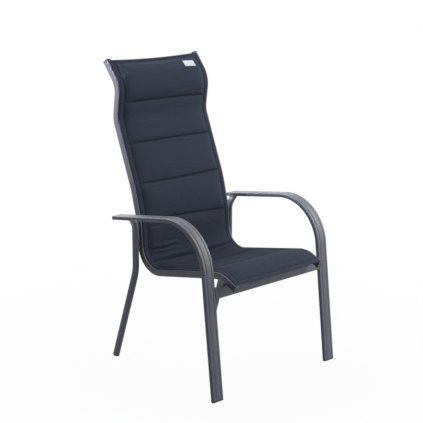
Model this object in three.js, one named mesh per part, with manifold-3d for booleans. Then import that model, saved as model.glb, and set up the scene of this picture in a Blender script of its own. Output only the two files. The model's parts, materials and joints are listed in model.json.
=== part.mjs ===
// High-back padded sling armchair for the patio.
// Millimetres, +Z up. The sitter faces -Y, so the sitter's left is +X.
// The origin is on the floor, at the middle of the width and of the depth.

import * as THREE from 'three';
import { mergeVertices, toCreasedNormals } from 'three/addons/utils/BufferGeometryUtils.js';
import Module from 'manifold-3d';

const wasm = await Module();
wasm.setup();

const degrees = Math.PI / 180;

// Overall width, the gap between pieces that touch, and how far cutting tools overrun
const overallWidth = 632;
const seatGap = 0.3;
const cutOverrun = 2;

// Arm and front leg, one flat bar; heights and reaches are to its outer face
const armWidth = 50;
const armThickness = 14;
const armEdgeRadius = 4.5;
const armGrooveWidth = 3.2;
const armGrooveDepth = 1.2;
const armGrooveOffset = 12;
const armTilt = 7.8 * degrees;
const armCornerHeight = 627;
const armBendRadius = 178;
const armPastRearLeg = 36.5;
const frontFootReach = 318;
const frontLegLean = 6.2 * degrees;

// Rear leg, an oval tube; heights are to its centre line
const rearLegWidth = 15;
const rearLegDepth = 27;
const rearLegEdgeRadius = 6;
const rearLegAheadOfBolts = 0.9;
const rearLegSweep = 18 * degrees;
const rearLegSplay = 1.2 * degrees;
const rearLegSweepHeight = 354;
const rearLegSweepRadius = 185;
const rearLegFlare = 42 * degrees;
const rearLegFlareHeight = 529;
const rearLegFlareRadius = 50;

// Sling rail section, with a slot for the sling's edge near its outer side
const railBesideArm = 41;
const railWidth = 20;
const railDepth = 25;
const railRearRadius = 5;
const railInnerLipRadius = 3;
const railOuterLipRadius = 1.6;
const railSlotWidth = 3.4;
const railSlotOffset = 4;
const railChannelRadius = 4.2;
const railChannelDepth = 8.2;

// Sling rail from the top down: length of each run between bend corners, and its lean from plumb;
// the upper back run is as long as it takes to bring the seat's rear corner down to its height,
// and the seat run to bring the rail's front end past the front foot
const railTopReach = 327.8;
const railTopHeight = 1110;
const seatCornerHeight = 362.3;
const railPastFrontFoot = 10.6;
const headrestRun = { length: 112, lean: 37.6 * degrees };
const neckRun = { length: 123.5, lean: -7.9 * degrees };
const upperBackLean = 20.9 * degrees;
const lumbarRun = { length: 130, lean: 14.3 * degrees };
const lowerBackRun = { length: 164.6, lean: 3.6 * degrees };
const seatLean = 99.9 * degrees;
const noseRun = { length: 79, lean: 63.6 * degrees };
const neckBendRadius = 98;
const shoulderBendRadius = 76;
const backBendRadius = 300;
const lumbarBendRadius = 200;
const seatBendRadius = 75;
const noseBendRadius = 103;
const railRadii = [
  neckBendRadius,
  shoulderBendRadius,
  backBendRadius,
  lumbarBendRadius,
  seatBendRadius,
  noseBendRadius,
];

// Keder rod, which holds the sling's edge in the slot
const kederRadius = 3.6;
const kederEndInset = 5;

// Padded sling: flat side margins, a tail into each slot and a quilted field between them
const slingLift = 0.6;
const slingMargin = 2.2;
const slingTailThickness = 2;
const slingTopInset = 5;
const slingFrontInset = 2;
const padInsideRail = 28;
const padCrown = 9;
const padBackCrown = 2.5;
const padSag = 3;
const padSeamDip = 1.2;
const padSeamFirst = 176;
const padSeamPitch = 149;
const padSeamCount = 7;
const padEdgePower = 12;
const padChannelPower = 3;
const padFrontShares = [0.5, 0.8, 0.93, 1];
const padBackShares = [1, 0.55];

// Blank tab sewn to the sitter's left of the headrest
const tabWidth = 52;
const tabHeight = 26;
const tabThickness = 0.8;
const tabLift = 0.9;
const tabInsidePad = 50;
const tabFromTop = 39.5;

// Front crossbar
const crossbarHeight = 40;
const crossbarThickness = 12;
const crossbarEdgeRadius = 3;
const crossbarBelowRail = 10.3;

// Spreader bars, which hold the rails apart behind and under the sling
const spreaderRadius = 8;
const spreaderBehind = 12;
const spreaderStraight = 30;
const spreaderBow = 22;
const spreaderBowRun = 60;
const spreaderBendRadius = 40;
const headrestSpreaderBelowShoulder = 30;
const lumbarSpreaderAboveSeat = 114;
const seatSpreaderAhead = 215;

// End plugs and glides
const capThickness = 3;
const plugLength = 18;
const plugWall = 4;
const plugEdgeRadius = 1.4;
const railPlugWidth = 12;
const railPlugDepth = 6;
const railPlugFromRear = 3.5;
const frontGlideHeight = 5;
const frontGlideBevel = 1.2;
const rearGlideLength = 10;
const rearGlideFlat = 13;

// Bolts, spacers and bushes
const boltHoleClearance = 0.3;
const railBoltRadius = 3;
const railBoltHeadRadius = 5.5;
const railBoltHeadHeight = 3.4;
const railBoltGrip = 12;
const railBoltBehind = 18.4;
const railBoltsAboveSeat = { lower: 92, upper: 136 };
const spacerRadius = 6.4;
const spacerLength = 7.8;
const crossbarBoltRadius = 2.5;
const crossbarBoltHeadRadius = 4.2;
const crossbarBoltHeadHeight = 3;
const crossbarBoltHeadRecess = 5;
const crossbarBoltGrip = 9;
const bushRadius = 7;

// Fineness of bends and of round edges
const armBendStep = 6 * degrees;
const railBendStep = 9 * degrees;
const legBendStep = 7 * degrees;
const spreaderBendStep = 7 * degrees;
const slingStationPitch = 45;
const creaseAngle = 30 * degrees;
const edgeSteps = 3;
const lipSteps = 2;
const channelSteps = 8;
const roundSides = 16;
const kederSides = 8;
const spreaderSides = 12;
const tabColumns = 4;
const tabRows = 3;

// Places that follow from the sizes above
const armCentre = overallWidth / 2 - armWidth / 2;
const railOuterHalfSpan = armCentre - armWidth / 2 - railBesideArm;
const railCentre = railOuterHalfSpan - railWidth / 2;
const railInnerHalfSpan = railOuterHalfSpan - railWidth;
const padHalfWidth = railOuterHalfSpan - padInsideRail;
const tabOffset = padHalfWidth - tabInsidePad;
const rearLegCentre = railOuterHalfSpan + spacerLength + rearLegWidth / 2;
const acrossX = new THREE.Vector3(-1, 0, 0);
const upperBackRun = { length: upperBackLength(), lean: upperBackLean };
const seatRun = { length: seatLength(), lean: seatLean };
const railRuns = [headrestRun, neckRun, upperBackRun, lumbarRun, lowerBackRun, seatRun, noseRun];
const [, , shoulderCorner, , , seatCorner] = railCorners();
const boltHeights = Object.values(railBoltsAboveSeat);
const rearLegReach = railBoltPlace((boltHeights[0] + boltHeights[1]) / 2).y - rearLegAheadOfBolts;
const armRearReach = rearLegReach + armPastRearLeg;
const chair = new THREE.Group();

function finish(color, roughness, metalness) {
  return new THREE.MeshStandardMaterial({ color, roughness, metalness });
}

const finishes = {
  frame: () => finish(0x63676d, 0.38, 0.55),
  plastic: () => finish(0x1e2023, 0.6, 0),
  greyPlastic: () => finish(0x5c6066, 0.55, 0),
  steel: () => finish(0x4a4d51, 0.4, 0.9),
  fabric: () => finish(0x39404e, 0.85, 0),
  tab: () => finish(0xe8e8e6, 0.8, 0),
};

// Solids for cutting and joining, from closed meshes with shared vertices
function toSolid(geometry) {
  const bare = geometry.clone();
  bare.deleteAttribute('normal');
  bare.deleteAttribute('uv');
  const merged = mergeVertices(bare);
  return new wasm.Manifold(new wasm.Mesh({
    numProp: 3,
    vertProperties: new Float32Array(merged.attributes.position.array),
    triVerts: new Uint32Array(merged.index.array),
  }));
}

function toGeometry(solid) {
  const { vertProperties, triVerts } = solid.getMesh();
  const geometry = new THREE.BufferGeometry();
  geometry.setAttribute('position', new THREE.BufferAttribute(vertProperties, 3));
  geometry.setIndex(new THREE.BufferAttribute(triVerts, 1));
  return geometry;
}

function cut(geometry, ...tools) {
  return toGeometry(tools.reduce((solid, tool) => solid.subtract(toSolid(tool)), toSolid(geometry)));
}

function join(geometry, ...others) {
  return toGeometry(others.reduce((solid, other) => solid.add(toSolid(other)), toSolid(geometry)));
}

function mirrorImage(geometry) {
  return toGeometry(toSolid(geometry).mirror([1, 0, 0]));
}

function addPiece(name, geometry, look, x = 0) {
  const piece = new THREE.Mesh(toCreasedNormals(geometry, creaseAngle), look());
  piece.name = name;
  piece.position.x = x;
  chair.add(piece);
}

// A piece on the sitter's left and its mirror image on the right
function addPair(name, geometry, look, x) {
  addPiece(`${name}_left`, geometry, look, x);
  addPiece(`${name}_right`, mirrorImage(geometry), look, -x);
}

function heading(from, to) {
  return to.clone().sub(from).normalize();
}

// The direction behind a path in the YZ plane that runs down or forward
function behindOf(tangent) {
  return new THREE.Vector3().crossVectors(tangent, acrossX);
}

// A path of straight runs joined by round bends, stepped at its own stations
class BentPath extends THREE.Curve {
  constructor(corners, radii, bendStep) {
    super();
    this.stations = [{ point: corners[0], tangent: heading(corners[0], corners[1]) }];
    radii.forEach((radius, i) => this.addBend(corners.slice(i, i + 3), radius, bendStep));
    const [last, end] = corners.slice(-2);
    this.stations.push({ point: end, tangent: heading(last, end) });
    this.distance = this.measure();
  }

  addBend([before, corner, after], radius, bendStep) {
    const into = heading(before, corner);
    const out = heading(corner, after);
    const turn = into.angleTo(out);
    const inward = out.clone().addScaledVector(into, -into.dot(out)).normalize();
    const start = corner.clone().addScaledVector(into, -radius * Math.tan(turn / 2));
    const steps = Math.ceil(turn / bendStep);
    for (let step = 0; step <= steps; step += 1) {
      const angle = turn * step / steps;
      const point = start.clone()
        .addScaledVector(into, radius * Math.sin(angle))
        .addScaledVector(inward, radius * (1 - Math.cos(angle)));
      const tangent = into.clone().multiplyScalar(Math.cos(angle))
        .addScaledVector(inward, Math.sin(angle));
      this.stations.push({ point, tangent });
    }
  }

  measure() {
    let distance = 0;
    this.stations.forEach((station, i) => {
      distance += i > 0 ? station.point.distanceTo(this.stations[i - 1].point) : 0;
      station.distance = distance;
    });
    return distance;
  }

  // The station at a distance along the path, measured from its start
  at(distance) {
    const next = Math.max(1, this.stations.findIndex((station) => station.distance >= distance));
    const [from, to] = [this.stations[next - 1], this.stations[next]];
    const share = (distance - from.distance) / (to.distance - from.distance);
    return {
      point: from.point.clone().lerp(to.point, share),
      tangent: from.tangent.clone().lerp(to.tangent, share).normalize(),
    };
  }

  get steps() {
    return this.stations.length - 1;
  }

  getUtoTmapping(u) {
    return u;
  }

  between(t, key, target) {
    const place = Math.min(Math.max(t, 0), 1) * this.steps;
    const index = Math.min(Math.floor(place), this.steps - 1);
    return target.lerpVectors(this.stations[index][key], this.stations[index + 1][key], place - index);
  }

  getPoint(t, target = new THREE.Vector3()) {
    return this.between(t, 'point', target);
  }

  getTangent(t, target = new THREE.Vector3()) {
    return this.between(t, 'tangent', target).normalize();
  }
}

// Sweeps an outline along a path in the YZ plane: outline x runs to -X, outline y to behind
function sweep(outline, path) {
  return new THREE.ExtrudeGeometry(new THREE.Shape(outline), {
    steps: path.steps,
    bevelEnabled: false,
    extrudePath: path,
  });
}

// A straight bar of an outline, along +Z from z = 0
function bar(outline, length) {
  return new THREE.ExtrudeGeometry(new THREE.Shape(outline), { depth: length, bevelEnabled: false });
}

// Turns a bar so that it runs along a path at a station, with its outline as the sweep has it
function alongPath(geometry, { point, tangent }) {
  const behind = behindOf(tangent).normalize();
  const aside = behind.clone().cross(tangent);
  return geometry.applyMatrix4(
    new THREE.Matrix4().makeBasis(aside, behind, tangent).setPosition(point),
  );
}

// Turns a bar end for end, keeping the back of its outline at the back
function endForEnd(geometry) {
  return geometry.rotateY(Math.PI);
}

// A closed solid through sections, each an outline at a station of a path in the YZ plane
function loft(sections) {
  const count = sections[0].outline.length;
  const lastRing = (sections.length - 1) * count;
  const points = sections.flatMap(({ outline, station: { point, tangent } }) => outline.map(
    ({ x, y }) => point.clone().addScaledVector(acrossX, x).addScaledVector(behindOf(tangent), y),
  ));
  const faces = [];
  for (let ring = 0; ring < lastRing; ring += count) {
    for (let i = 0; i < count; i += 1) {
      const here = ring + i;
      const beside = ring + (i + 1) % count;
      faces.push(here, beside, beside + count, here, beside + count, here + count);
    }
  }
  THREE.ShapeUtils.triangulateShape(sections[0].outline, [])
    .forEach(([a, b, c]) => faces.push(c, b, a));
  THREE.ShapeUtils.triangulateShape(sections.at(-1).outline, [])
    .forEach(([a, b, c]) => faces.push(lastRing + a, lastRing + b, lastRing + c));
  return new THREE.BufferGeometry().setFromPoints(points).setIndex(faces);
}

function arcPoints(x, y, radius, from, to, steps) {
  return Array.from({ length: steps + 1 }, (_, step) => {
    const angle = from + (to - from) * step / steps;
    return new THREE.Vector2(x + radius * Math.cos(angle), y + radius * Math.sin(angle));
  });
}

// A rounded rectangle centred on x = 0 and on y
function roundedOutline(width, depth, radius, y = 0, steps = edgeSteps) {
  const aside = width / 2 - radius;
  const back = depth / 2 - radius;
  const quarter = Math.PI / 2;
  return [
    [aside, -back, -quarter],
    [aside, back, 0],
    [-aside, back, quarter],
    [-aside, -back, 2 * quarter],
  ].flatMap(([cx, cy, from]) => arcPoints(cx, y + cy, radius, from, from + quarter, steps));
}

function circleOutline(x, y, radius, count) {
  return arcPoints(x, y, radius, 0, 2 * Math.PI, count).slice(0, count);
}

// A round rod along X between two places across the chair
function crossRod(radius, from, to, { y, z }) {
  return new THREE.CylinderGeometry(radius, radius, to - from, roundSides)
    .rotateZ(Math.PI / 2)
    .translate((from + to) / 2, y, z);
}

// A domed bolt: its head stands up from y = 0 and its shank hangs down
function domedBolt(shankRadius, length, headRadius, headHeight) {
  const domeShare = 0.6;
  return new THREE.LatheGeometry([
    new THREE.Vector2(0, -length),
    new THREE.Vector2(shankRadius, -length),
    new THREE.Vector2(shankRadius, 0),
    new THREE.Vector2(headRadius, 0),
    new THREE.Vector2(headRadius, headHeight / 2),
    new THREE.Vector2(headRadius * domeShare, headHeight),
    new THREE.Vector2(0, headHeight),
  ], roundSides);
}

// An end plug: its cap is outside a tube's end and its stem inside, with the tube's end at z = 0
function endPlug(capOutline, stemOutline) {
  const cap = bar(capOutline, capThickness).translate(0, 0, -capThickness - seatGap);
  const stem = bar(stemOutline(0), plugLength + capThickness).translate(0, 0, -capThickness);
  return join(cap, stem);
}

function plugSocket(stemOutline) {
  return bar(stemOutline(seatGap), plugLength + seatGap + cutOverrun).translate(0, 0, -cutOverrun);
}

// Arm and front leg
const legUp = new THREE.Vector3(0, Math.sin(frontLegLean), Math.cos(frontLegLean));
const legDown = legUp.clone().negate();
const frontFoot = { point: new THREE.Vector3(0, -frontFootReach, 0), tangent: legDown };
const armCorner = frontFoot.point.clone()
  .addScaledVector(legUp, armCornerHeight / Math.cos(frontLegLean));

function armTopAt(y) {
  return armCorner.z - (y - armCorner.y) * Math.tan(armTilt);
}

function armPath() {
  const rearEnd = new THREE.Vector3(0, armRearReach, armTopAt(armRearReach));
  const belowFloor = frontFoot.point.clone().addScaledVector(legDown, armThickness);
  return new BentPath([rearEnd, armCorner, belowFloor], [armBendRadius], armBendStep);
}

function armOutline() {
  const grooves = [-armGrooveOffset, armGrooveOffset].flatMap((x) => [
    new THREE.Vector2(x - armGrooveWidth / 2, 0),
    new THREE.Vector2(x, armGrooveDepth),
    new THREE.Vector2(x + armGrooveWidth / 2, 0),
  ]);
  return [...grooves, ...roundedOutline(armWidth, armThickness, armEdgeRadius, armThickness / 2)];
}

function armPlugOutline(clearance) {
  const width = armWidth - 2 * plugWall + 2 * clearance;
  const depth = armThickness - 2 * plugWall + 2 * clearance;
  return roundedOutline(width, depth, plugEdgeRadius, armThickness / 2, lipSteps);
}

// The stretch of the front leg's line that the glide's stem fills, up from the floor
function frontGlideStem(clearance) {
  const length = plugLength + frontGlideHeight + clearance;
  return alongPath(bar(armPlugOutline(clearance), length).translate(0, 0, -length), frontFoot);
}

function floorBlock(top) {
  const size = 2 * frontFootReach;
  const depth = 3 * armThickness;
  return new THREE.BoxGeometry(size, size, depth).translate(0, -frontFootReach, top - depth / 2);
}

function armFrontLeg() {
  const path = armPath();
  return cut(
    sweep(armOutline(), path),
    floorBlock(frontGlideHeight),
    alongPath(plugSocket(armPlugOutline), path.stations[0]),
    frontGlideStem(seatGap),
  );
}

function armCap() {
  const capOutline = roundedOutline(armWidth, armThickness, armEdgeRadius, armThickness / 2);
  return alongPath(endPlug(capOutline, armPlugOutline), armPath().stations[0]);
}

function frontGlide() {
  const depth = armThickness / Math.cos(frontLegLean);
  const outline = roundedOutline(
    armWidth - 2 * frontGlideBevel,
    depth - 2 * frontGlideBevel,
    armEdgeRadius - frontGlideBevel,
  );
  const sole = new THREE.ExtrudeGeometry(new THREE.Shape(outline), {
    depth: frontGlideHeight - seatGap - 2 * frontGlideBevel,
    bevelThickness: frontGlideBevel,
    bevelSize: frontGlideBevel,
    bevelSegments: lipSteps,
  }).translate(0, depth / 2 - frontFootReach, frontGlideBevel);
  return join(sole, cut(frontGlideStem(0), floorBlock(frontGlideBevel)));
}

// Rear leg, whose lower part runs back and a little outward
const rearLegSlope = { x: Math.tan(rearLegSplay), y: Math.tan(rearLegSweep) };
const rearLegUp = new THREE.Vector3(-rearLegSlope.x, -rearLegSlope.y, 1).normalize();

function rearLegOutline() {
  return roundedOutline(rearLegWidth, rearLegDepth, rearLegEdgeRadius);
}

function rearLegPlugOutline(clearance) {
  const width = rearLegWidth - 2 * plugWall + 2 * clearance;
  const depth = rearLegDepth - 2 * plugWall + 2 * clearance;
  return roundedOutline(width, depth, plugEdgeRadius, 0, lipSteps);
}

// The tube's lower end, at such a height that the glide below it stands on the named flat
function rearFoot() {
  const soleCentre = Math.sin(rearLegSweep)
    * (rearLegDepth / 2 - rearGlideFlat * Math.cos(rearLegSweep));
  const height = soleCentre + (rearGlideLength + seatGap) * Math.cos(rearLegSweep);
  const drop = rearLegSweepHeight - height;
  const y = rearLegReach + drop * rearLegSlope.y;
  return { point: new THREE.Vector3(drop * rearLegSlope.x, y, height), tangent: rearLegUp };
}

// The leg flares outward to the arm and is cut off along the arm's underside
function rearLeg() {
  const topHeight = armTopAt(rearLegReach);
  const flareRun = (topHeight - rearLegFlareHeight) * Math.tan(rearLegFlare);
  const foot = rearFoot();
  const path = new BentPath([
    foot.point,
    new THREE.Vector3(0, rearLegReach, rearLegSweepHeight),
    new THREE.Vector3(0, rearLegReach, rearLegFlareHeight),
    new THREE.Vector3(flareRun, rearLegReach, topHeight),
  ], [rearLegSweepRadius, rearLegFlareRadius], legBendStep);
  const blockSize = 3 * armWidth;
  const underArm = topHeight - (armThickness + seatGap) / Math.cos(armTilt);
  const armBlock = new THREE.BoxGeometry(blockSize, blockSize, blockSize)
    .translate(0, 0, blockSize / 2)
    .rotateX(-armTilt)
    .translate(0, rearLegReach, underArm);
  const boltHoles = boltHeights.map((above) => crossRod(
    railBoltRadius + boltHoleClearance,
    -rearLegWidth / 2 - cutOverrun,
    -rearLegWidth / 2 + railBoltGrip + boltHoleClearance,
    railBoltPlace(above),
  ));
  return cut(
    sweep(rearLegOutline(), path),
    armBlock,
    alongPath(plugSocket(rearLegPlugOutline), foot),
    ...boltHoles,
  );
}

function rearGlide() {
  const foot = rearFoot();
  const cap = bar(rearLegOutline(), rearGlideLength).translate(0, 0, -rearGlideLength - seatGap);
  const stem = bar(rearLegPlugOutline(0), plugLength + rearGlideLength / 2)
    .translate(0, 0, -rearGlideLength / 2);
  const underFloor = new THREE.BoxGeometry(2 * rearLegWidth, 4 * rearLegDepth, rearLegDepth)
    .translate(foot.point.x, foot.point.y, -rearLegDepth / 2);
  return cut(join(alongPath(cap, foot), alongPath(stem, foot)), underFloor);
}

// Sling rails
function upperBackLength() {
  const drop = [headrestRun, neckRun, lumbarRun, lowerBackRun]
    .reduce((sum, { length, lean }) => sum + length * Math.cos(lean), 0);
  return (railTopHeight - seatCornerHeight - drop) / Math.cos(upperBackLean);
}

function seatLength() {
  const reach = [headrestRun, neckRun, upperBackRun, lumbarRun, lowerBackRun, noseRun]
    .reduce((sum, { length, lean }) => sum + length * Math.sin(lean), 0);
  return (railTopReach + frontFootReach + railPastFrontFoot - reach) / Math.sin(seatLean);
}

function runHeading({ lean }) {
  return new THREE.Vector3(0, -Math.sin(lean), -Math.cos(lean));
}

// The bend corners of the rail's front face, with its two ends, from the top down
function railCorners() {
  const corners = [new THREE.Vector3(0, railTopReach, railTopHeight)];
  railRuns.forEach((run, i) => {
    corners.push(corners[i].clone().addScaledVector(runHeading(run), run.length));
  });
  return corners;
}

// The rail's path, or that of something in it whose ends lie inside the rail's ends
function railPath(topInset = 0, frontInset = 0) {
  const corners = railCorners();
  corners[0].addScaledVector(runHeading(headrestRun), topInset);
  corners.at(-1).addScaledVector(runHeading(noseRun), -frontInset);
  return new BentPath(corners, railRadii, railBendStep);
}

// A place on a run of the rail: along it from a corner, and behind its front face
function railPlace(run, corner, along, behind) {
  const tangent = runHeading(run);
  return corner.clone()
    .addScaledVector(tangent, along)
    .addScaledVector(behindOf(tangent), behind);
}

function railBoltPlace(above) {
  return railPlace(lowerBackRun, seatCorner, -above, railBoltBehind);
}

// Outline of the rail on the sitter's left, whose outer side is at -x here
function railOutline() {
  const half = railWidth / 2;
  const slotHalf = railSlotWidth / 2;
  const quarter = Math.PI / 2;
  const mouth = Math.asin(slotHalf / railChannelRadius);
  const rear = railDepth - railRearRadius;
  const corner = (x, y, radius, from) => arcPoints(x, y, radius, from, from + quarter, lipSteps);
  const channel = arcPoints(
    -railSlotOffset,
    railChannelDepth,
    railChannelRadius,
    mouth - quarter,
    3 * quarter - mouth,
    channelSteps,
  );
  return [
    new THREE.Vector2(slotHalf - railSlotOffset, 0),
    ...corner(half - railInnerLipRadius, railInnerLipRadius, railInnerLipRadius, -quarter),
    ...corner(half - railRearRadius, rear, railRearRadius, 0),
    ...corner(railRearRadius - half, rear, railRearRadius, quarter),
    ...corner(railOuterLipRadius - half, railOuterLipRadius, railOuterLipRadius, 2 * quarter),
    new THREE.Vector2(-slotHalf - railSlotOffset, 0),
    ...channel.reverse(),
  ];
}

function railPlugOutline(clearance) {
  return roundedOutline(
    railPlugWidth + 2 * clearance,
    railPlugDepth + 2 * clearance,
    plugEdgeRadius,
    railDepth - railPlugFromRear - railPlugDepth / 2,
    lipSteps,
  );
}

function slingRail() {
  const path = railPath();
  const boltHoles = boltHeights.map((above) => crossRod(
    railBoltRadius + boltHoleClearance,
    -railWidth / 2 - cutOverrun,
    railWidth / 2 + cutOverrun,
    railBoltPlace(above),
  ));
  const underside = crossbarHeight + crossbarBelowRail;
  return cut(
    sweep(railOutline(), path),
    alongPath(plugSocket(railPlugOutline), path.stations[0]),
    alongPath(endForEnd(plugSocket(railPlugOutline)), path.stations.at(-1)),
    boltLineRod(
      crossbarBoltRadius + boltHoleClearance,
      underside - crossbarBoltGrip,
      underside + crossbarBoltGrip + boltHoleClearance,
    ),
    ...boltHoles,
  );
}

function railCap() {
  const capOutline = roundedOutline(railWidth, railDepth, railInnerLipRadius, railDepth / 2);
  return endPlug(capOutline, railPlugOutline);
}

function kederRod() {
  const outline = circleOutline(-railSlotOffset, railChannelDepth, kederRadius, kederSides);
  return sweep(outline, railPath(kederEndInset, kederEndInset));
}

// Padded sling
function padHems(length) {
  const seams = Array.from({ length: padSeamCount }, (_, i) => padSeamFirst + i * padSeamPitch);
  return [slingTopInset, ...seams, length - slingFrontInset];
}

// How full a sewn channel is at a distance down the sling: 0 at its seams, 1 midway
function fullness(distance, hems) {
  const next = Math.max(1, hems.findIndex((hem) => hem >= distance));
  const share = (distance - hems[next - 1]) / (hems[next] - hems[next - 1]);
  return 1 - Math.abs(2 * share - 1) ** padChannelPower;
}

// The pad's front and back faces, measured behind the rail's front face
function padFaces(x, full) {
  const widthShare = Math.abs(x / padHalfWidth);
  const edge = 1 - widthShare ** padEdgePower;
  const sag = padSag * (1 - widthShare ** 2);
  const rise = padCrown * full - padSeamDip * (1 - full);
  return {
    front: sag - slingLift - slingMargin - edge * rise,
    back: sag - slingLift + edge * padBackCrown * full,
  };
}

function slingOutline(full) {
  const tailOutside = railCentre + railSlotOffset + slingTailThickness / 2;
  const tailInside = tailOutside - slingTailThickness;
  const tailEnd = railChannelDepth - kederRadius - seatGap;
  const facePoint = (side) => (share) => {
    const x = share * padHalfWidth;
    return new THREE.Vector2(x, padFaces(x, full)[side]);
  };
  const half = [
    ...padFrontShares.map(facePoint('front')),
    new THREE.Vector2(tailOutside, -slingLift - slingMargin),
    new THREE.Vector2(tailOutside, tailEnd),
    new THREE.Vector2(tailInside, tailEnd),
    new THREE.Vector2(tailInside, -slingLift),
    ...padBackShares.map(facePoint('back')),
  ];
  const otherHalf = half.map(({ x, y }) => new THREE.Vector2(-x, y)).reverse();
  return [facePoint('front')(0), ...half, facePoint('back')(0), ...otherHalf];
}

// The sling's stations: its hems and seams, the rail's bends, and more between them
function slingDistances(path, hems) {
  const spare = slingStationPitch / 6;
  const bends = path.stations.map(({ distance }) => distance)
    .filter((distance) => distance > hems[0] && distance < hems.at(-1))
    .filter((distance) => hems.every((hem) => Math.abs(hem - distance) > spare));
  const marks = [...hems, ...bends].sort((a, b) => a - b);
  const between = marks.slice(1).flatMap((mark, i) => {
    const run = mark - marks[i];
    const steps = Math.ceil(run / slingStationPitch);
    return Array.from({ length: steps }, (_, step) => marks[i] + run * step / steps);
  });
  return [...between, hems.at(-1)];
}

function paddedSling() {
  const path = railPath();
  const hems = padHems(path.distance);
  return loft(slingDistances(path, hems).map((distance) => ({
    outline: slingOutline(fullness(distance, hems)),
    station: path.at(distance),
  })));
}

function careTab() {
  const path = railPath();
  const hems = padHems(path.distance);
  return loft(Array.from({ length: tabRows + 1 }, (_, row) => {
    const distance = tabFromTop + tabHeight * row / tabRows;
    const full = fullness(distance, hems);
    const front = Array.from({ length: tabColumns + 1 }, (_, column) => {
      const x = tabOffset + tabWidth / 2 - tabWidth * column / tabColumns;
      return new THREE.Vector2(-x, padFaces(x, full).front - tabLift - tabThickness);
    });
    const back = front.map(({ x, y }) => new THREE.Vector2(x, y + tabThickness)).reverse();
    return { outline: [...front, ...back], station: path.at(distance) };
  }));
}

// Spreader bar between the rails, bowed away from the sitter
function spreaderBar(run, corner, along) {
  const end = railPlace(run, corner, along, spreaderBehind);
  const bowed = railPlace(run, corner, along, spreaderBehind + spreaderBow);
  const reach = railInnerHalfSpan - seatGap;
  const shoulder = reach - spreaderStraight;
  const bowEnd = shoulder - spreaderBowRun;
  const corners = [
    [reach, end],
    [shoulder, end],
    [bowEnd, bowed],
    [-bowEnd, bowed],
    [-shoulder, end],
    [-reach, end],
  ].map(([x, { y, z }]) => new THREE.Vector3(x, y, z));
  const radii = corners.slice(2).map(() => spreaderBendRadius);
  const path = new BentPath(corners, radii, spreaderBendStep);
  return sweep(circleOutline(0, 0, spreaderRadius, spreaderSides), path);
}

// Front crossbar, between the middles of the legs, and the bolts up through it into the rails
const legMiddle = frontFoot.point.clone().addScaledVector(behindOf(legDown), armThickness / 2);
const crossbarUnderside = legMiddle.clone()
  .addScaledVector(legUp, railUpTheLeg() - crossbarBelowRail - crossbarHeight);

// How far up the middle of the leg the rail's underside crosses it, seen from the side
function railUpTheLeg() {
  const underside = railPath().stations.map(({ point, tangent }) => {
    const offset = point.clone().addScaledVector(behindOf(tangent), railDepth).sub(legMiddle);
    return { back: offset.dot(behindOf(legDown)), up: offset.dot(legUp) };
  });
  const next = underside.findIndex(({ back }) => back <= 0);
  const [from, to] = [underside[next - 1], underside[next]];
  return from.up + (to.up - from.up) * from.back / (from.back - to.back);
}

// A rod up the line of a crossbar bolt, between two heights above the crossbar's underside
function boltLineRod(radius, from, to) {
  const middle = crossbarUnderside.clone().addScaledVector(legUp, (from + to) / 2);
  return new THREE.CylinderGeometry(radius, radius, to - from, roundSides)
    .rotateX(Math.PI / 2 - frontLegLean)
    .translate(0, middle.y, middle.z);
}

function crossbarBore() {
  return boltLineRod(
    crossbarBoltRadius + boltHoleClearance,
    -cutOverrun,
    crossbarHeight + crossbarBelowRail + bushRadius + cutOverrun,
  );
}

function frontCrossbar() {
  const length = 2 * (armCentre - armWidth / 2 - seatGap);
  const centre = crossbarUnderside.clone().addScaledVector(legUp, crossbarHeight / 2);
  const outline = roundedOutline(crossbarHeight, crossbarThickness, crossbarEdgeRadius);
  const beam = bar(outline, length)
    .translate(0, 0, -length / 2)
    .rotateY(Math.PI / 2)
    .rotateX(-frontLegLean)
    .translate(0, centre.y, centre.z);
  const headRadius = crossbarBoltHeadRadius + boltHoleClearance;
  const bores = [-railCentre, railCentre].flatMap((x) => [
    crossbarBore().translate(x, 0, 0),
    boltLineRod(headRadius, -cutOverrun, crossbarBoltHeadRecess).translate(x, 0, 0),
  ]);
  return cut(beam, ...bores);
}

// Bush between the crossbar and the rail, shaped to the rail's underside
function crossbarBush() {
  const width = railWidth + 2 * seatGap;
  const depth = railDepth + 2 * seatGap;
  const railEnvelope = roundedOutline(width, depth, railRearRadius, railDepth / 2);
  return cut(
    boltLineRod(
      bushRadius,
      crossbarHeight + seatGap,
      crossbarHeight + crossbarBelowRail + bushRadius,
    ),
    sweep(railEnvelope, railPath()),
    crossbarBore(),
  );
}

function crossbarBolt() {
  const bearing = crossbarBoltHeadRecess - seatGap;
  const length = crossbarHeight - bearing + crossbarBelowRail + crossbarBoltGrip;
  const place = crossbarUnderside.clone().addScaledVector(legUp, bearing);
  return domedBolt(crossbarBoltRadius, length, crossbarBoltHeadRadius, crossbarBoltHeadHeight)
    .rotateX(-Math.PI / 2 - frontLegLean)
    .translate(0, place.y, place.z);
}

// Bolt from the rail's inner side through the spacer into the rear leg; x = 0 is under its head
function railBolt(above) {
  const { y, z } = railBoltPlace(above);
  const length = seatGap + railWidth + spacerLength + railBoltGrip;
  return domedBolt(railBoltRadius, length, railBoltHeadRadius, railBoltHeadHeight)
    .rotateZ(Math.PI / 2)
    .translate(0, y, z);
}

// Spacer between the rail and the rear leg; x = 0 is the rail's outer side
function railSpacer(above) {
  const place = railBoltPlace(above);
  return cut(
    crossRod(spacerRadius, seatGap, spacerLength - seatGap, place),
    crossRod(railBoltRadius + boltHoleClearance, -cutOverrun, spacerLength + cutOverrun, place),
  );
}

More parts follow.
